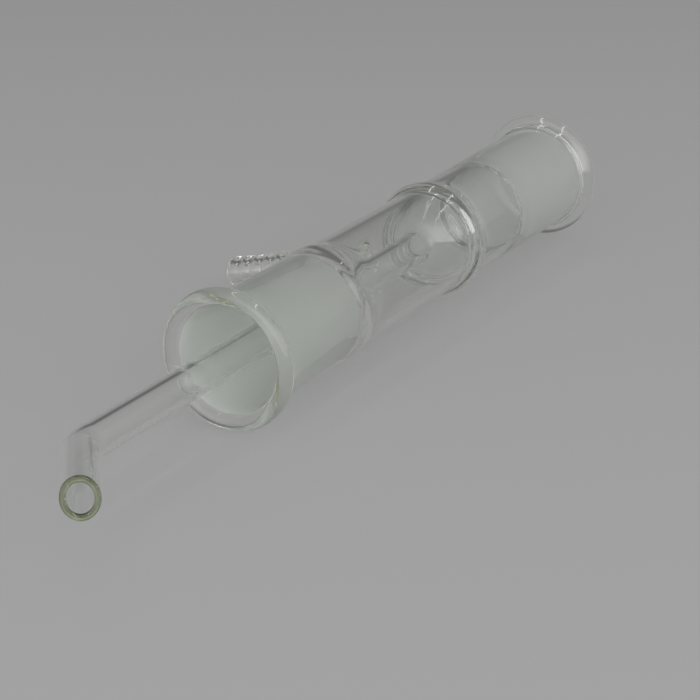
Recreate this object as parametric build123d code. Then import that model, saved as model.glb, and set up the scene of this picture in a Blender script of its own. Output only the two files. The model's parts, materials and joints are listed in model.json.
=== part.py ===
from build123d import *
import os
from math import asin, atan2, cos, degrees, hypot, radians, sin, tan

# A receiver adapter for vacuum distillation, blown and sealed from borosilicate tube as one
# piece of glass: a body with a ground socket at each end, a drip tube sealed into the body
# through a domed ring seal, and a hose connection on the side.
# Lengths are in millimetres and angles in degrees. While it is built, X is the body's axis,
# with zero at the middle of the drip end's rim, and the drip tube points to -X.

# Ground sockets, standard taper 29/42, one at each end
mouth_bore = 29.2
bore_lost_share = 0.1
ground_length = 42.0
rim_diameter = 38.0
lip_depth = 2.2
rim_back = 5.0
socket_flare = 0.45

# Body tube, between the middles of the two rims
body_length = 184.0
body_diameter = 30.6
body_wall = 2.0
shoulder_length = 2.5

# Swell where the drip end's socket is sealed to the body, just past its ground length
swell_length = 12.0
swell_rise = 0.65

# Ring seal, back from the inlet's ground length to its middle, and the dome inside it
ring_setback = 32.5
ring_width = 10.0
ring_rise = 1.7
dome_offset = 3.7
dome_overlap = 0.7
dome_wall = 1.8
dome_fillet = 0.3
neck_fillet = 3.0
bowl_taper = 5.0

# Drip tube, with its corner this far out of the rim's middle
drip_diameter = 9.0
drip_wall = 1.45
corner_reach = 64.2
bend_angle = 37.0
bend_radius = 14.0
tip_length = 42.8
tip_cut_angle = 25.0
tip_bevel = 0.5

# Hose connection, back from the ring seal's middle, with its end this far from the body's axis
hose_setback = 15.0
hose_reach = 59.4
hose_diameter = 8.2
hose_bore = 5.0
hose_root_fillet = 2.5
hose_bevel = 0.7
ridge_count = 6
ridge_pitch = 4.0
ridge_rise = 0.5
ridge_end_gap = 0.8

cut_overrun = 5.0

# Sizes that follow from these
mouth_radius = mouth_bore / 2
throat_radius = mouth_radius - bore_lost_share * ground_length / 2
rim_radius = rim_diameter / 2
lip_radius = (rim_radius - mouth_radius) / 2
body_radius = body_diameter / 2
bore_radius = body_radius - body_wall
inlet_ground_end = body_length - ground_length
ring_place = inlet_ground_end - ring_setback
dome_place = ring_place + dome_offset
dome_radius = bore_radius + dome_overlap
bowl_radius = dome_radius - dome_wall
drip_radius = drip_diameter / 2
drip_bore_radius = drip_radius - drip_wall
bend_run = bend_radius * tan(radians(bend_angle) / 2)
bend_start = bend_run - corner_reach
hose_place = ring_place - hose_setback
hose_radius = hose_diameter / 2
ridge_start = hose_reach - ridge_end_gap - ridge_count * ridge_pitch
last_crest = hose_reach - ridge_end_gap - ridge_pitch / 2
crest_roundness = (ridge_pitch**2 / 4 + ridge_rise**2) / (2 * ridge_rise)


def touching_angle(along, radius, roundness=0):
    """How far the hose connection droops when an edge of it comes level with the rims.

    The edge, or the middle of its arc, is this far along the hose connection and from its axis.
    """
    return degrees(asin((rim_radius - roundness) / hypot(along, radius)) - atan2(radius, along))


# The hose connection droops until its last ridge or its bevelled end lies level with the two rims
droop_angle = min(
    touching_angle(last_crest, hose_radius + ridge_rise - crest_roundness, crest_roundness),
    touching_angle(hose_reach - hose_bevel, hose_radius),
    touching_angle(hose_reach, hose_radius - hose_bevel),
)


def ease(start, end):
    """A soft step from one point to another, level with the axis at both."""
    middle = (start[0] + end[0]) / 2
    return Bezier(start, (middle, start[1]), (middle, end[1]), end)


def lip(rim_place, front):
    """The rounded front of a rim, from its outer edge round to its mouth."""
    middle = (front, mouth_radius + lip_radius)
    return [
        Bezier((rim_place, rim_radius), (front, rim_radius), middle),
        Bezier(middle, (front, mouth_radius), (rim_place, mouth_radius)),
    ]


def sphere_arc(radius, start_angle, end_angle):
    """An arc of the dome, between two angles from the body's axis on the drip tube's side."""
    angles = [radians(angle) for angle in (start_angle, (start_angle + end_angle) / 2, end_angle)]
    return ThreePointArc(*((dome_place - radius * cos(a), radius * sin(a)) for a in angles))


def dome_corner(radius, angle, wall_radius):
    """Where the dome is left at an angle from the axis, its tangent's corner with a wall, and the wall."""
    slope = radians(angle)
    leave = (dome_place - radius * cos(slope), radius * sin(slope))
    corner = (leave[0] + (wall_radius - leave[1]) * tan(slope), wall_radius)
    reach = hypot(corner[0] - leave[0], corner[1] - leave[1])
    return [leave, corner, (corner[0] - reach, wall_radius)]


def body_section():
    """Half section of all that is round about the body's axis, as (along the axis, radius)."""
    collar_radius = body_radius + socket_flare
    collar = (rim_back, collar_radius)
    inlet_collar = (body_length - rim_back, collar_radius)
    swell = [
        (ground_length, body_radius),
        (ground_length + swell_length / 2, body_radius + swell_rise),
        (ground_length + swell_length, body_radius),
    ]
    ring = [
        (ring_place - ring_width / 2, body_radius),
        (ring_place, body_radius + ring_rise),
        (ring_place + ring_width / 2, body_radius),
    ]
    throat = (ground_length, throat_radius)
    shoulder = (ground_length + shoulder_length, bore_radius)
    inlet_throat = (inlet_ground_end, throat_radius)
    inlet_shoulder = (inlet_ground_end - shoulder_length, bore_radius)

    bowl_edge = (dome_place + bowl_taper, bore_radius)
    bowl_angle = degrees(asin((drip_bore_radius + neck_fillet) / (bowl_radius + neck_fillet)))
    neck_angle = degrees(asin((drip_radius + neck_fillet) / (dome_radius + neck_fillet)))
    foot_angle = degrees(asin((bore_radius - dome_fillet) / (dome_radius + dome_fillet)))
    bowl_neck = dome_corner(bowl_radius, bowl_angle, drip_bore_radius)
    dome_neck = dome_corner(dome_radius, neck_angle, drip_radius)
    dome_foot = dome_corner(dome_radius, foot_angle, bore_radius)
    return Plane.XZ * make_face(
        Curve()
        + [
            *lip(0, -lip_depth),
            ease((0, rim_radius), collar),
            Line(collar, swell[0]),
            ThreePointArc(*swell),
            Line(swell[2], ring[0]),
            Spline(*ring, tangents=[(1, 0), (1, 0)]),
            Polyline(ring[2], (inlet_ground_end, body_radius), inlet_collar),
            ease(inlet_collar, (body_length, rim_radius)),
            *lip(body_length, body_length + lip_depth),
            Polyline((body_length, mouth_radius), inlet_throat, inlet_shoulder, bowl_edge),
            Line(bowl_edge, (dome_place, bowl_radius)),
            sphere_arc(bowl_radius, 90, bowl_angle),
            Bezier(*bowl_neck),
            Polyline(bowl_neck[2], (bend_start, drip_bore_radius), (bend_start, drip_radius), dome_neck[2]),
            Bezier(*dome_neck),
            sphere_arc(dome_radius, neck_angle, foot_angle),
            Polyline(dome_foot[0], dome_foot[2], shoulder, throat, (0, mouth_radius)),
        ]
    )


def seal_plane():
    """The plane that holds the body's axis, the hose connection and the drip tube's bend.

    Its origin is on the body's axis, its X runs along that axis and its Y along the hose connection.
    """
    droop = radians(droop_angle)
    return Plane(origin=(hose_place, 0, 0), x_dir=(1, 0, 0), z_dir=(0, sin(droop), cos(droop)))


def drip_tip():
    """The drip tube's bend and its straight tip, cut off at a slant with its edges taken off."""
    bend_plane = Plane(origin=(bend_start, 0, 0), x_dir=(-1, 0, 0), z_dir=seal_plane().z_dir)
    with BuildLine(bend_plane) as route:
        bend = JernArc((0, 0), (1, 0), bend_radius, bend_angle)
        Line(bend @ 1, bend @ 1 + (tip_length - bend_run + cut_overrun) * (bend % 1))
    ring = Plane(bend_plane.origin, z_dir=(-1, 0, 0)) * (Circle(drip_radius) - Circle(drip_bore_radius))
    tube = sweep(ring, path=route.line)

    tip_direction = route.line % 1
    tip_middle = route.line @ 1 - cut_overrun * tip_direction
    slant = radians(tip_cut_angle)
    end_plane = Plane(tip_middle, z_dir=tip_direction * cos(slant) + bend_plane.z_dir * sin(slant))
    tube = split(tube, bisect_by=end_plane, keep=Keep.BOTTOM)
    end_edges = tube.faces().sort_by_distance(tip_middle)[0].edges()
    return chamfer(end_edges, tip_bevel)


def hose_stem():
    """The hose connection as a solid stem, from inside the body's wall to its bevelled end."""
    plane = seal_plane()
    stem_start = bore_radius + body_wall / 2
    valleys = [ridge_start + number * ridge_pitch for number in range(ridge_count + 1)]
    ridges = [
        ThreePointArc((hose_radius, low), (hose_radius + ridge_rise, (low + high) / 2), (hose_radius, high))
        for low, high in zip(valleys, valleys[1:])
    ]
    bevel = [(hose_radius, hose_reach - hose_bevel), (hose_radius - hose_bevel, hose_reach)]
    section = make_face(
        Curve()
        + [
            *ridges,
            Polyline((hose_radius, valleys[-1]), *bevel, (0, hose_reach)),
            Polyline((0, hose_reach), (0, stem_start), (hose_radius, stem_start), (hose_radius, valleys[0])),
        ]
    )
    return revolve(plane * section, Axis(plane.origin, plane.y_dir))


def hose_passage():
    """The round way through the hose connection, from beside the drip tube to past its end."""
    plane = seal_plane()
    passage_start = (drip_radius + bore_radius) / 2
    passage_length = hose_reach + cut_overrun - passage_start
    across = Plane(plane.from_local_coords((0, passage_start)), z_dir=plane.y_dir)
    return extrude(across * Circle(hose_bore / 2), passage_length)


def receiver_adapter():
    """The whole adapter, lying on its two rims and the last ridge of its hose connection."""
    body = revolve(body_section(), Axis.X) + drip_tip()
    stem = hose_stem()
    glass = body + stem
    glass = fillet(new_edges(body, stem, combined=glass), hose_root_fillet)
    glass -= hose_passage()
    box = glass.bounding_box()
    return Pos(-box.center().X, -box.center().Y, -box.min.Z) * glass


os.makedirs("parts", exist_ok=True)
export_step(receiver_adapter(), "parts/receiver_adapter.step")
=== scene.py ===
import json
from math import asin, atan2, cos, hypot, pi, radians, sin, sqrt, tan

import bmesh
import bpy
import numpy as np
from mathutils import Matrix, Vector


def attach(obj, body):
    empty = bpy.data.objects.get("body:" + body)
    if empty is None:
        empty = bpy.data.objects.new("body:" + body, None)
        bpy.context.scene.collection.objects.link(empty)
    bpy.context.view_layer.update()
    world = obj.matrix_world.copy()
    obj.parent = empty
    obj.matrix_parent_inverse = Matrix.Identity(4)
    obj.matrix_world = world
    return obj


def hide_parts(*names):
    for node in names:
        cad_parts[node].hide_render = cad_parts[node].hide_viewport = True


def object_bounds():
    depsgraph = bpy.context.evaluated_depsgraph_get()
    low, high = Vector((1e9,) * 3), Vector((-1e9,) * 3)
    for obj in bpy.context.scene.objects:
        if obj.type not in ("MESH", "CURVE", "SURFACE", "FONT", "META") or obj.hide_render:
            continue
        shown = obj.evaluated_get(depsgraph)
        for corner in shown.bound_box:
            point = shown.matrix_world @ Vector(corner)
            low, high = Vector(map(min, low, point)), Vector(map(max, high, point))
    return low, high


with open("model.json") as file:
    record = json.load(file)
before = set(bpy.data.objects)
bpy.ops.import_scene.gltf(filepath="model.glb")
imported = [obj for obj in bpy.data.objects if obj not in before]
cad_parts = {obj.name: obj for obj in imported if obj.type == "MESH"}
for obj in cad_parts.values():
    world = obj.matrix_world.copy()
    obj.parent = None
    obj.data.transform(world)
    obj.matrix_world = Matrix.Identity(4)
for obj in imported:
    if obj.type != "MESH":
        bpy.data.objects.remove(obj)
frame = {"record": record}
cad_low, cad_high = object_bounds()
MM = 0.001

# Sizes of the glass in millimetres, along the body's axis from the middle of the drip end's rim. The
# rims, the two tubes' ends and the ridges are a hair smaller than the solid's, to stay inside its box.
BODY_LENGTH, BODY_RADIUS, BORE_RADIUS = 184.0, 15.3, 13.3
MOUTH_RADIUS, THROAT_RADIUS, GROUND_LENGTH, SHOULDER_LENGTH = 14.6, 12.5, 42.0, 2.5
RIM_RADIUS, LIP_DEPTH, RIM_BACK, COLLAR_RADIUS = 18.98, 2.18, 5.0, 15.75
SWELL_LENGTH, SWELL_FRONT, SWELL_RISE = 13.0, 4.5, 0.65
RING_PLACE, RING_WIDTH, RING_RISE, RING_HOLD = 109.5, 10.0, 1.7, 1 / 3
DOME_PLACE, DOME_RADIUS, NECK_FILLET, FOOT_FILLET = 113.2, 14.0, 3.0, 0.3
BOWL_RADIUS, BOWL_TAPER = 12.2, 5.0
DRIP_RADIUS, DRIP_BORE = 4.5, 3.05
CORNER_REACH, BEND_ANGLE, BEND_RADIUS = 64.2, radians(37.0), 14.0
TIP_LENGTH, TIP_SLANT, TIP_POLISH, SLANT_RUN = 42.68, radians(25.0), 0.55, 9.0
HOSE_PLACE, HOSE_REACH, HOSE_RADIUS, HOSE_BORE, HOSE_FILLET = 94.5, 59.35, 4.1, 2.5, 2.5
HOSE_POLISH, HOSE_MOUTH_EDGE = 0.7, 0.4
RIDGE_COUNT, RIDGE_PITCH, RIDGE_RISE, RIDGE_END_GAP = 6, 4.0, 0.47, 0.8
DROOP = radians(14.7513)

# Grid of the mesh: vertices round the axis, and rings on each kind of surface
ROUND = 160
STRAIGHT_ROWS, CURVE_ROWS, SOFT_ROWS = 6, 14, 10
LIP_ROWS, DOME_ROWS, BEND_ROWS, END_ROWS, RIDGE_ROWS = 26, 28, 20, 18, 10

# Square patch of that grid round the hose connection: cells from its middle to its edge, and reach
PATCH_CELLS, PATCH_REACH, PATCH_ROWS = 16, 8.0, 8

# The body's axis, the hose connection's, and the direction square to both
AXIS = np.array([1.0, 0.0, 0.0])
HOSE = np.array([0.0, cos(DROOP), -sin(DROOP)])
ACROSS = np.array([0.0, sin(DROOP), cos(DROOP)])

BEND_RUN = BEND_RADIUS * tan(BEND_ANGLE / 2)
BEND_START = BEND_RUN - CORNER_REACH
TIP_RUN = TIP_LENGTH - BEND_RUN
ROUND_ANGLES = [2 * pi * i / ROUND for i in range(ROUND)]

# Glass: what it takes up, and how the ground zones scatter
GLASS_IOR = 1.473
ABSORB_COLOUR, ABSORB_DENSITY = (0.52, 0.60, 0.24, 1.0), 4.8
CLEAR_TONES = ((1.0, 1.0, 1.0, 1.0), (0.985, 0.995, 0.985, 1.0))
TONE_SCALE, TONE_DETAIL = 30.0, 2.0
GROUND_TONE = (0.953, 1.0, 0.948, 1.0)
GROUND_ROUGHNESS, GRAIN_SCALE, GRAIN_DETAIL = (0.46, 0.54), 900.0, 3.0
GROUND_CLEAR = 0.62
# The far ground zone gets less of the ground look than the near one, so that it shows dimmer: painted
# shade.
NEAR_GROUND, FAR_GROUND_SHADED = 1.0, 0.7

# Stage: the direction over the table away from the camera, the table's tone and the room's levels
BEYOND = (0.873, 0.488, 0.0)
TABLE_HALF, TABLE_GAP = 6.0, 0.00005
# The table's glow is painted light: it keeps shadows light.
TABLE_TONE, TABLE_GLOW = 0.135, 0.229
# The table's tone and glow are painted darker away from the camera: painted shade.
TABLE_PAINTED_SHADE_REACH, TABLE_PAINTED_SHADE = (-0.2, 0.45), (1.10, 0.87)
ROOM_REACH, ROOM_LEVELS = (-0.9, -0.15), (2.4, 0.45)
CEILING_REACH, CEILING_LEVEL = (0.4, 0.9), (0.24, 0.24, 0.24, 1.0)
DARK_REACH, DARK_LEVEL = (0.2, 0.85), (0.12, 0.12, 0.12, 1.0)
DARK_HEIGHTS = ((0.03, 0.5), (0.22, 1.0), (0.5, 1.0), (0.9, 0.0))
LAMP_RADIANCE = 7.0
LAMP_ROWS, LAMP_ROW_SIZE = ((-0.25, 0.68, 2.0), (-0.25, -0.5, 2.0)), (2.7, 0.08)
WINDOW_PLACE, WINDOW_AIM, WINDOW_SIZE = (0.25, -1.6, 1.15), (0.0, 0.0, 0.3), (0.16, 1.8)
LIGHT_BOUNCES, DIFFUSE_BOUNCES = 96, 12

# Camera, from the middle of the drip end's rim, as the photograph's perspective puts it
CAMERA_PLACE = (-0.46437, -0.29476, 0.21331)
CAMERA_FORWARD = (0.81480, 0.45576, -0.35830)
CAMERA_LENS, CAMERA_SENSOR, CAMERA_CLIP = 120.892, 36.0, (0.01, 50.0)


def spread(start, end, count):
    """count values from start on, evenly towards end, which is left out."""
    return [start + (end - start) * i / count for i in range(count)]


def line(start, end, count=STRAIGHT_ROWS):
    """Points on a straight line, its end left out."""
    return list(zip(spread(start[0], end[0], count), spread(start[1], end[1], count)))


def bezier(points, count):
    """Points on a Bezier curve, its end left out."""
    made = []
    for t in spread(0.0, 1.0, count):
        row = [np.array(p, float) for p in points]
        while len(row) > 1:
            row = [a + (b - a) * t for a, b in zip(row, row[1:])]
        made.append(tuple(row[0]))
    return made


def ease(start, end, hold=0.5):
    """A soft step, level with the axis at both ends."""
    reach = (end[0] - start[0]) * hold
    return bezier([start, (start[0] + reach, start[1]), (end[0] - reach, end[1]), end], CURVE_ROWS)


def round_lip(place, depth, start, end):
    """A rim's rounded front, by angle from the direction away from the axis."""
    half = (RIM_RADIUS - MOUTH_RADIUS) / 2
    angles = spread(start, end, LIP_ROWS)
    return [(place + depth * sin(a), MOUTH_RADIUS + half + half * cos(a)) for a in angles]


def dome_arc(radius, start, end, count):
    """Points on a ball about the dome's middle, by angle from the axis."""
    return [(DOME_PLACE - radius * cos(a), radius * sin(a)) for a in spread(start, end, count)]


def dome_corner(radius, angle, wall):
    """The corners of a soft bend from the dome to a wall round the axis."""
    leave = (DOME_PLACE - radius * cos(angle), radius * sin(angle))
    corner = (leave[0] + (wall - leave[1]) * tan(angle), wall)
    reach = hypot(corner[0] - leave[0], corner[1] - leave[1])
    return [leave, corner, (corner[0] - reach, wall)]


def smooth(t):
    """A soft step from nought to one."""
    t = min(max(t, 0.0), 1.0)
    return t * t * (3 - 2 * t)


def ring_at(x, radius):
    """A ring of vertices round the body's axis."""
    return [x * AXIS + radius * (cos(a) * HOSE + sin(a) * ACROSS) for a in ROUND_ANGLES]


def route_ring(along, radius):
    """A ring of the drip tube at a distance along its middle from where its bend starts."""
    turn = min(max(along / BEND_RADIUS, 0.0), BEND_ANGLE)
    toward = -cos(turn) * AXIS - sin(turn) * HOSE
    side = cos(turn) * HOSE - sin(turn) * AXIS
    middle = BEND_START * AXIS - BEND_RADIUS * (sin(turn) * AXIS + (1 - cos(turn)) * HOSE)
    past = max(along - BEND_RADIUS * BEND_ANGLE, 0.0)
    middle = middle + past * toward
    slant = tan(TIP_SLANT) * smooth((past - TIP_RUN + SLANT_RUN) / SLANT_RUN)
    made = []
    for a in ROUND_ANGLES:
        off = radius * (cos(a) * side + sin(a) * ACROSS)
        made.append(middle + off - slant * radius * sin(a) * toward)
    return made


def body_outline():
    """The section of all that is round about the axis, in two runs of (along, radius).

    The first runs from the drip end's collar over the inlet's rim to the drip tube's bore, the second
    from the drip tube's outside back to that collar. With them come the row at which each run meets
    the hose connection's patch, and the first and last row of each ground zone.
    """
    near_end, far_end = GROUND_LENGTH, BODY_LENGTH - GROUND_LENGTH
    swell_top = (near_end + SWELL_FRONT, BODY_RADIUS + SWELL_RISE)
    swell_end = (near_end + SWELL_LENGTH, BODY_RADIUS)
    ring_start = (RING_PLACE - RING_WIDTH / 2, BODY_RADIUS)
    ring_top = (RING_PLACE, BODY_RADIUS + RING_RISE)
    ring_end = (RING_PLACE + RING_WIDTH / 2, BODY_RADIUS)
    far_collar = (BODY_LENGTH - RIM_BACK, COLLAR_RADIUS)
    far_shoulder = (far_end - SHOULDER_LENGTH, BORE_RADIUS)
    near_shoulder = (near_end + SHOULDER_LENGTH, BORE_RADIUS)
    bowl_edge = (DOME_PLACE + BOWL_TAPER, BORE_RADIUS)
    patch = (HOSE_PLACE - PATCH_REACH, HOSE_PLACE + PATCH_REACH)
    bowl_angle = asin((DRIP_BORE + NECK_FILLET) / (BOWL_RADIUS + NECK_FILLET))
    neck_angle = asin((DRIP_RADIUS + NECK_FILLET) / (DOME_RADIUS + NECK_FILLET))
    foot_angle = asin((BORE_RADIUS - FOOT_FILLET) / (DOME_RADIUS + FOOT_FILLET))
    bowl = dome_corner(BOWL_RADIUS, bowl_angle, DRIP_BORE)
    neck = dome_corner(DOME_RADIUS, neck_angle, DRIP_RADIUS)
    foot = dome_corner(DOME_RADIUS, foot_angle, BORE_RADIUS)

    outer = line((RIM_BACK, COLLAR_RADIUS), (near_end, BODY_RADIUS))
    outer += ease((near_end, BODY_RADIUS), swell_top)
    outer += ease(swell_top, swell_end)
    outer += line(swell_end, (patch[0], BODY_RADIUS))
    patch_outer = len(outer)
    outer += line((patch[0], BODY_RADIUS), (patch[1], BODY_RADIUS), 2 * PATCH_CELLS)
    outer += line((patch[1], BODY_RADIUS), ring_start)
    outer += ease(ring_start, ring_top, RING_HOLD)
    outer += ease(ring_top, ring_end, RING_HOLD)
    outer += line(ring_end, (far_end, BODY_RADIUS))
    outer += line((far_end, BODY_RADIUS), far_collar)
    outer += ease(far_collar, (BODY_LENGTH, RIM_RADIUS))
    outer += round_lip(BODY_LENGTH, LIP_DEPTH, 0, pi)
    far_ground = [len(outer)]
    outer += line((BODY_LENGTH, MOUTH_RADIUS), (far_end, THROAT_RADIUS))
    far_ground.append(len(outer))
    outer += ease((far_end, THROAT_RADIUS), far_shoulder)
    outer += line(far_shoulder, bowl_edge)
    outer += ease(bowl_edge, (DOME_PLACE, BOWL_RADIUS))
    outer += dome_arc(BOWL_RADIUS, pi / 2, bowl_angle, DOME_ROWS)
    outer += bezier(bowl, SOFT_ROWS)
    outer += line(bowl[2], (BEND_START, DRIP_BORE))

    inner = line((BEND_START, DRIP_RADIUS), neck[2])
    inner += bezier(neck[::-1], SOFT_ROWS)
    inner += dome_arc(DOME_RADIUS, neck_angle, foot_angle, CURVE_ROWS)
    inner += bezier(foot, SOFT_ROWS)
    inner += line(foot[2], (patch[1], BORE_RADIUS))
    patch_inner = len(inner)
    inner += line((patch[1], BORE_RADIUS), (patch[0], BORE_RADIUS), 2 * PATCH_CELLS)
    inner += line((patch[0], BORE_RADIUS), near_shoulder)
    inner += ease(near_shoulder, (near_end, THROAT_RADIUS))
    near_ground = [len(inner)]
    inner += line((near_end, THROAT_RADIUS), (0, MOUTH_RADIUS))
    near_ground.append(len(inner))
    inner += round_lip(0, -LIP_DEPTH, pi, 0)
    inner += ease((0, RIM_RADIUS), (RIM_BACK, COLLAR_RADIUS))
    return outer, inner, patch_outer, patch_inner, far_ground, near_ground


def tip_rings():
    """The drip tube's bend and tip: down its bore, round the polished end and back outside."""
    bend_end = BEND_RADIUS * BEND_ANGLE
    end = bend_end + TIP_RUN
    slant_start = end - SLANT_RUN
    polish_start = end - TIP_POLISH
    half = (DRIP_RADIUS - DRIP_BORE) / 2
    stretches = (
        (0, bend_end, BEND_ROWS),
        (bend_end, slant_start, STRAIGHT_ROWS),
        (slant_start, polish_start, CURVE_ROWS),
    )
    rings = [route_ring(a, DRIP_BORE) for start, stop, rows in stretches for a in spread(start, stop, rows)]
    rings += [
        route_ring(polish_start + TIP_POLISH * sin(a), DRIP_BORE + half * (1 - cos(a)))
        for a in spread(0, pi, LIP_ROWS)
    ]
    rings += [
        route_ring(a, DRIP_RADIUS)
        for start, stop, rows in reversed(stretches)
        for a in spread(stop, start, rows)
    ]
    return rings


def patch_border():
    """Cells round the edge of the square patch, in order, as steps along the axis and round it."""
    n = PATCH_CELLS
    border = [(n, j) for j in range(-n, n)]
    border += [(-i, n) for i in range(-n, n)]
    border += [(-n, -j) for j in range(-n, n)]
    border += [(i, -n) for i in range(-n, n)]
    return border


def wall_point(along, tangent, wall, rise=0.0):
    """A point on or above a wall round the axis, beside the hose connection's middle."""
    height = sqrt(wall * wall - tangent * tangent) + rise
    return (HOSE_PLACE + along) * AXIS + tangent * ACROSS + height * HOSE


def wall_ring(turns, radius, wall, rise=0.0):
    """A ring round the hose connection's axis, on or above a wall round the body's axis."""
    return [wall_point(radius * cos(a), radius * sin(a), wall, rise) for a in turns]


def level_ring(turns, radius, height):
    """A ring of the hose connection, square to its axis."""
    return [
        (HOSE_PLACE + radius * cos(a)) * AXIS + radius * sin(a) * ACROSS + height * HOSE for a in turns
    ]


def between(start, end, count):
    """Rings from one ring on, evenly towards another, which is left out."""
    return [[p + (q - p) * t for p, q in zip(start, end)] for t in spread(0, 1, count)]


def wall_rings(edge, turns, radius, wall):
    """Rings on a wall, from the patch's edge on to a round ring, which is left out."""
    return [
        [
            wall_point(p + (radius * cos(a) - p) * t, q + (radius * sin(a) - q) * t, wall)
            for (p, q), a in zip(edge, turns)
        ]
        for t in spread(0, 1, PATCH_ROWS)
    ]


def hose_rings(border):
    """Rings from the patch outside, out along the hose connection and back down its way to the inside."""
    cell = PATCH_REACH / PATCH_CELLS
    outside = [(i * cell, BODY_RADIUS * sin(2 * pi * j / ROUND)) for i, j in border]
    inside = [(i * cell, BORE_RADIUS * sin(2 * pi * j / ROUND)) for i, j in border]
    turns = [atan2(q, p) for p, q in outside]
    inner_turns = [atan2(q, p) for p, q in inside]

    foot = HOSE_RADIUS + HOSE_FILLET
    rings = wall_rings(outside, turns, foot, BODY_RADIUS)[1:]
    for a in spread(0, pi / 2, SOFT_ROWS):
        rings.append(wall_ring(turns, foot - HOSE_FILLET * sin(a), BODY_RADIUS, HOSE_FILLET * (1 - cos(a))))
    base = wall_ring(turns, HOSE_RADIUS, BODY_RADIUS, HOSE_FILLET)
    ridges_end = HOSE_REACH - RIDGE_END_GAP
    ridges_start = ridges_end - RIDGE_COUNT * RIDGE_PITCH
    rings += between(base, level_ring(turns, HOSE_RADIUS, ridges_start), STRAIGHT_ROWS)
    for height in spread(ridges_start, ridges_end, RIDGE_ROWS * RIDGE_COUNT):
        wave = (1 - cos(2 * pi * (height - ridges_start) / RIDGE_PITCH)) / 2
        rings.append(level_ring(turns, HOSE_RADIUS + RIDGE_RISE * wave, height))
    rings.append(level_ring(turns, HOSE_RADIUS, ridges_end))
    half = (HOSE_RADIUS - HOSE_BORE) / 2
    polish_start = HOSE_REACH - HOSE_POLISH
    for a in spread(0, pi, END_ROWS):
        radius = HOSE_RADIUS - half * (1 - cos(a))
        rings.append(level_ring(turns, radius, polish_start + HOSE_POLISH * sin(a)))

    mouth_radius = HOSE_BORE + HOSE_MOUTH_EDGE
    mouth = wall_ring(inner_turns, HOSE_BORE, BORE_RADIUS, HOSE_MOUTH_EDGE)
    rings += between(level_ring(turns, HOSE_BORE, polish_start), mouth, 2 * STRAIGHT_ROWS)
    for a in spread(0, pi / 2, SOFT_ROWS):
        radius = HOSE_BORE + HOSE_MOUTH_EDGE * (1 - cos(a))
        rings.append(wall_ring(inner_turns, radius, BORE_RADIUS, HOSE_MOUTH_EDGE * (1 - sin(a))))
    rings.append(wall_ring(inner_turns, mouth_radius, BORE_RADIUS))
    rings += wall_rings(inside, inner_turns, mouth_radius, BORE_RADIUS)[:0:-1]
    return rings


def glass_mesh():
    """The whole adapter's vertices in millimetres about the drip end's rim, its faces and ground shares."""
    outer, inner, patch_outer, patch_inner, far_ground, near_ground = body_outline()
    tip = tip_rings()
    rings = [ring_at(*p) for p in outer] + tip + [ring_at(*p) for p in inner]
    count = len(rings)
    inner_start = len(outer) + len(tip)
    patch_inner += inner_start
    ground = np.zeros((count, ROUND))
    # The far ground zone's lower share is painted shade.
    ground[far_ground[0]:far_ground[1] + 1] = FAR_GROUND_SHADED
    ground[inner_start + near_ground[0]:inner_start + near_ground[1] + 1] = NEAR_GROUND
    points = [p for ring in rings for p in ring]

    def index(row, column):
        return (row % count) * ROUND + column % ROUND

    n = PATCH_CELLS
    faces = []
    for i in range(count):
        in_rows = patch_outer <= i < patch_outer + 2 * n or patch_inner <= i < patch_inner + 2 * n
        for j in range(ROUND):
            column = j if j < ROUND / 2 else j - ROUND
            if in_rows and -n <= column < n:
                continue
            faces.append((index(i, j), index(i + 1, j), index(i + 1, j + 1), index(i, j + 1)))

    border = patch_border()
    loops = [[index(patch_outer + n + i, j) for i, j in border]]
    for ring in hose_rings(border):
        loops.append(list(range(len(points), len(points) + len(ring))))
        points += ring
    loops.append([index(patch_inner + n - i, j) for i, j in border])
    size = len(border)
    for a, b in zip(loops, loops[1:]):
        for k in range(size):
            faces.append((a[k], a[(k + 1) % size], b[(k + 1) % size], b[k]))
    share = np.concatenate([ground.ravel(), np.zeros(len(points) - ground.size)])
    return np.array(points), faces, share


def make_glass(name, place):
    """The adapter as one closed, smooth mesh that knows how ground each vertex is."""
    points, faces, share = glass_mesh()
    mesh = bpy.data.meshes.new(name)
    mesh.from_pydata([tuple(p) for p in points * MM + np.array(place)], [], faces)
    attribute = mesh.attributes.new("ground", "FLOAT", "POINT")
    attribute.data.foreach_set("value", share.astype(np.float32))
    work = bmesh.new()
    work.from_mesh(mesh)
    bmesh.ops.delete(work, geom=[v for v in work.verts if not v.link_faces], context="VERTS")
    bmesh.ops.recalc_face_normals(work, faces=work.faces)
    work.to_mesh(mesh)
    work.free()
    mesh.polygons.foreach_set("use_smooth", [True] * len(mesh.polygons))
    made = bpy.data.objects.new(name, mesh)
    bpy.context.scene.collection.objects.link(made)
    return made


def node(tree, kind, place, **properties):
    """A new node with its properties set."""
    made = tree.nodes.new(kind)
    made.location = place
    for key, value in properties.items():
        setattr(made, key, value)
    return made


def mapped(tree, place, value, reach=(0.0, 1.0), levels=(0.0, 1.0), interpolation="LINEAR"):
    """A value carried over from one range to another."""
    made = node(tree, "ShaderNodeMapRange", place, interpolation_type=interpolation)
    for name, number in zip(("From Min", "From Max", "To Min", "To Max"), (*reach, *levels)):
        made.inputs[name].default_value = number
    tree.links.new(value, made.inputs["Value"])
    return made.outputs["Result"]


def product(tree, place, first, second):
    """Two values multiplied, the second a socket or a number."""
    made = node(tree, "ShaderNodeMath", place, operation="MULTIPLY")
    tree.links.new(first, made.inputs[0])
    if isinstance(second, float):
        made.inputs[1].default_value = second
    else:
        tree.links.new(second, made.inputs[1])
    return made.outputs["Value"]


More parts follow.
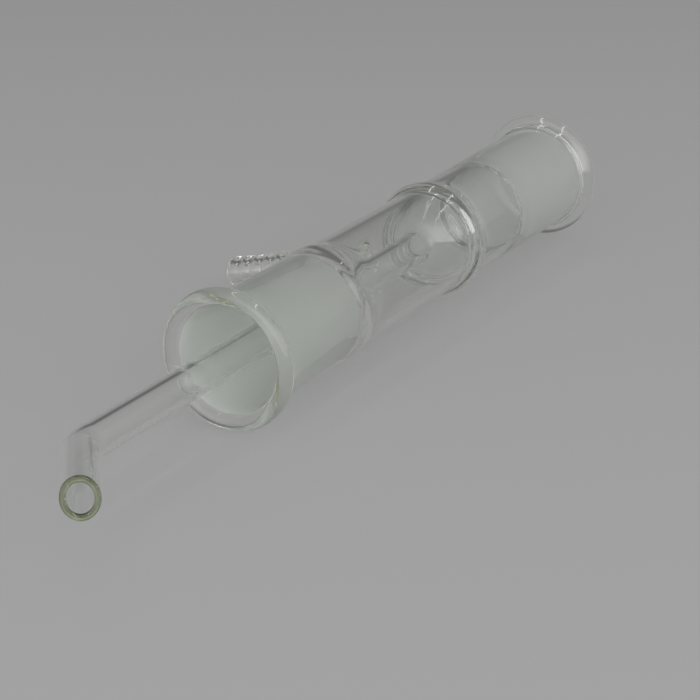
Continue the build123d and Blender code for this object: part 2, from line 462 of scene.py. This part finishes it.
def mixed(tree, place, share, first, second):
    """Two colours mixed by a share, each a socket or a colour."""
    made = node(tree, "ShaderNodeMix", place, data_type="RGBA")
    tree.links.new(share, made.inputs["Factor"])
    for name, colour in (("A", first), ("B", second)):
        if isinstance(colour, tuple):
            made.inputs[name].default_value = colour
        else:
            tree.links.new(colour, made.inputs[name])
    return made.outputs["Result"]


def noise(tree, place, where, scale, detail):
    """A noise's value over a place."""
    made = node(tree, "ShaderNodeTexNoise", place)
    made.inputs["Scale"].default_value = scale
    made.inputs["Detail"].default_value = detail
    tree.links.new(where, made.inputs["Vector"])
    return made.outputs["Fac"]


def away_from_camera(tree, place, where):
    """How far a place or direction reaches over the table, in the direction of the camera's view."""
    made = node(tree, "ShaderNodeVectorMath", place, operation="DOT_PRODUCT")
    made.inputs[1].default_value = BEYOND
    tree.links.new(where, made.inputs[0])
    return made.outputs["Value"]


def glass_material():
    """Clear glass that takes up a little light, and scatters it where it is ground."""
    material = bpy.data.materials.new("borosilicate_glass")
    material.use_nodes = True
    tree = material.node_tree
    tree.nodes.clear()
    out = node(tree, "ShaderNodeOutputMaterial", (600, 0))
    glass = node(tree, "ShaderNodeBsdfPrincipled", (200, 0))
    glass.inputs["IOR"].default_value = GLASS_IOR
    absorb = node(tree, "ShaderNodeVolumeAbsorption", (200, -400))
    absorb.inputs["Color"].default_value = ABSORB_COLOUR
    absorb.inputs["Density"].default_value = ABSORB_DENSITY
    ground = node(tree, "ShaderNodeAttribute", (-700, 0), attribute_name="ground").outputs["Fac"]
    where = node(tree, "ShaderNodeTexCoord", (-900, -250)).outputs["Object"]
    grain = noise(tree, (-700, -250), where, GRAIN_SCALE, GRAIN_DETAIL)
    rough = mapped(tree, (-450, -250), grain, levels=GROUND_ROUGHNESS)
    clear = mapped(tree, (-200, -450), ground, levels=(1.0, GROUND_CLEAR))
    wave = noise(tree, (-700, 300), where, TONE_SCALE, TONE_DETAIL)
    tone = mixed(tree, (-450, 350), wave, *CLEAR_TONES)
    tone = mixed(tree, (-200, 200), ground, tone, GROUND_TONE)
    tree.links.new(product(tree, (-200, -100), ground, rough), glass.inputs["Roughness"])
    tree.links.new(clear, glass.inputs["Transmission Weight"])
    tree.links.new(tone, glass.inputs["Base Color"])
    tree.links.new(glass.outputs["BSDF"], out.inputs["Surface"])
    tree.links.new(absorb.outputs["Volume"], out.inputs["Volume"])
    return material


def table_material():
    """A pale table whose tone and glow are painted a little darker far away, painted shade; it glows,
    painted light, so that its shadows stay light.
    """
    material = bpy.data.materials.new("table")
    material.use_nodes = True
    tree = material.node_tree
    tree.nodes.clear()
    out = node(tree, "ShaderNodeOutputMaterial", (700, 0))
    where = node(tree, "ShaderNodeTexCoord", (-900, 0)).outputs["Object"]
    away = away_from_camera(tree, (-700, 0), where)
    # Painted shade: the table's tone and glow fall off away from the camera.
    painted_shade = mapped(tree, (-500, 0), away, TABLE_PAINTED_SHADE_REACH, TABLE_PAINTED_SHADE)
    matte = node(tree, "ShaderNodeBsdfDiffuse", (100, 150))
    # Painted light: the table glows, so its shadows stay light.
    glow = node(tree, "ShaderNodeEmission", (350, -150))
    both = node(tree, "ShaderNodeAddShader", (500, 0))
    tree.links.new(product(tree, (-200, 150), painted_shade, TABLE_TONE), matte.inputs["Color"])
    tree.links.new(product(tree, (0, -150), painted_shade, TABLE_GLOW), glow.inputs["Strength"])
    tree.links.new(matte.outputs["BSDF"], both.inputs[0])
    tree.links.new(glow.outputs["Emission"], both.inputs[1])
    tree.links.new(both.outputs["Shader"], out.inputs["Surface"])
    return material


def room_light():
    """A pale room, brightest behind the camera, dim overhead and dark beyond, a little above the table."""
    world = bpy.data.worlds.new("room")
    world.use_nodes = True
    tree = world.node_tree
    direction = node(tree, "ShaderNodeTexCoord", (-1300, 0)).outputs["Generated"]
    axes = node(tree, "ShaderNodeSeparateXYZ", (-1100, -100))
    tree.links.new(direction, axes.inputs["Vector"])
    height = axes.outputs["Z"]
    away = away_from_camera(tree, (-1100, 150), direction)
    walls = mapped(tree, (-900, 400), away, ROOM_REACH, ROOM_LEVELS, "SMOOTHSTEP")
    overhead = mapped(tree, (-900, 650), height, CEILING_REACH, interpolation="SMOOTHSTEP")
    room = mixed(tree, (-650, 400), overhead, walls, CEILING_LEVEL)
    far = mapped(tree, (-900, 150), away, DARK_REACH, interpolation="SMOOTHSTEP")
    ramp = node(tree, "ShaderNodeValToRGB", (-900, -100))
    ramp.color_ramp.interpolation = "EASE"
    stops = ramp.color_ramp.elements
    for place, _ in DARK_HEIGHTS[1:-1]:
        stops.new(place)
    for stop, (place, share) in zip(stops, DARK_HEIGHTS):
        stop.position = place
        stop.color = (share, share, share, 1.0)
    tree.links.new(height, ramp.inputs["Fac"])
    dark = product(tree, (-650, 0), far, ramp.outputs["Color"])
    sky = mixed(tree, (-400, 0), dark, room, DARK_LEVEL)
    tree.links.new(sky, tree.nodes["Background"].inputs["Color"])
    return world


def panel(name, place, size, aim=None):
    """A rectangular lamp, facing down or turned to a point."""
    light = bpy.data.lights.new(name, "AREA")
    light.shape = "RECTANGLE"
    light.size, light.size_y = size
    light.energy = LAMP_RADIANCE * pi * size[0] * size[1]
    made = bpy.data.objects.new(name, light)
    made.location = place
    if aim:
        made.rotation_euler = (Vector(aim) - Vector(place)).to_track_quat("-Z", "Y").to_euler()
    bpy.context.scene.collection.objects.link(made)


scene = bpy.context.scene
mounts = {m["name"]: m for m in frame["record"]["mounts"]}
rim_middle = Vector(mounts["outlet_socket"]["pos_m"])

adapter = make_glass("receiver_adapter_glass", rim_middle)
adapter.data.materials.append(glass_material())
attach(adapter, "root")
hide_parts("receiver_adapter")

# Table, just under the lowest point of the glass
corners = [(x * TABLE_HALF, y * TABLE_HALF, 0.0) for x, y in ((-1, -1), (1, -1), (1, 1), (-1, 1))]
table_mesh = bpy.data.meshes.new("table")
table_mesh.from_pydata(corners, [], [(0, 1, 2, 3)])
table = bpy.data.objects.new("table", table_mesh)
table.location = (0, 0, cad_low[2] - TABLE_GAP)
table.data.materials.append(table_material())
scene.collection.objects.link(table)

# Light: the room, two rows of ceiling lamps along the body and a narrow window at its right
scene.world = room_light()
for number, spot in enumerate(LAMP_ROWS):
    panel(f"lamp_row_{number}", spot, LAMP_ROW_SIZE)
panel("window", WINDOW_PLACE, WINDOW_SIZE, WINDOW_AIM)
scene.cycles.max_bounces = LIGHT_BOUNCES
scene.cycles.transmission_bounces = LIGHT_BOUNCES
scene.cycles.glossy_bounces = LIGHT_BOUNCES
scene.cycles.diffuse_bounces = DIFFUSE_BOUNCES

camera_data = bpy.data.cameras.new("camera")
camera_data.sensor_width = CAMERA_SENSOR
camera_data.lens = CAMERA_LENS
camera_data.clip_start, camera_data.clip_end = CAMERA_CLIP
camera = bpy.data.objects.new("camera", camera_data)
forward = Vector(CAMERA_FORWARD).normalized()
right = forward.cross(Vector((0, 0, 1))).normalized()
turned = Matrix((right, right.cross(forward), -forward)).transposed().to_4x4()
camera.matrix_world = Matrix.Translation(rim_middle + Vector(CAMERA_PLACE)) @ turned
scene.collection.objects.link(camera)
scene.camera = camera
scene.view_settings.view_transform = "Standard"
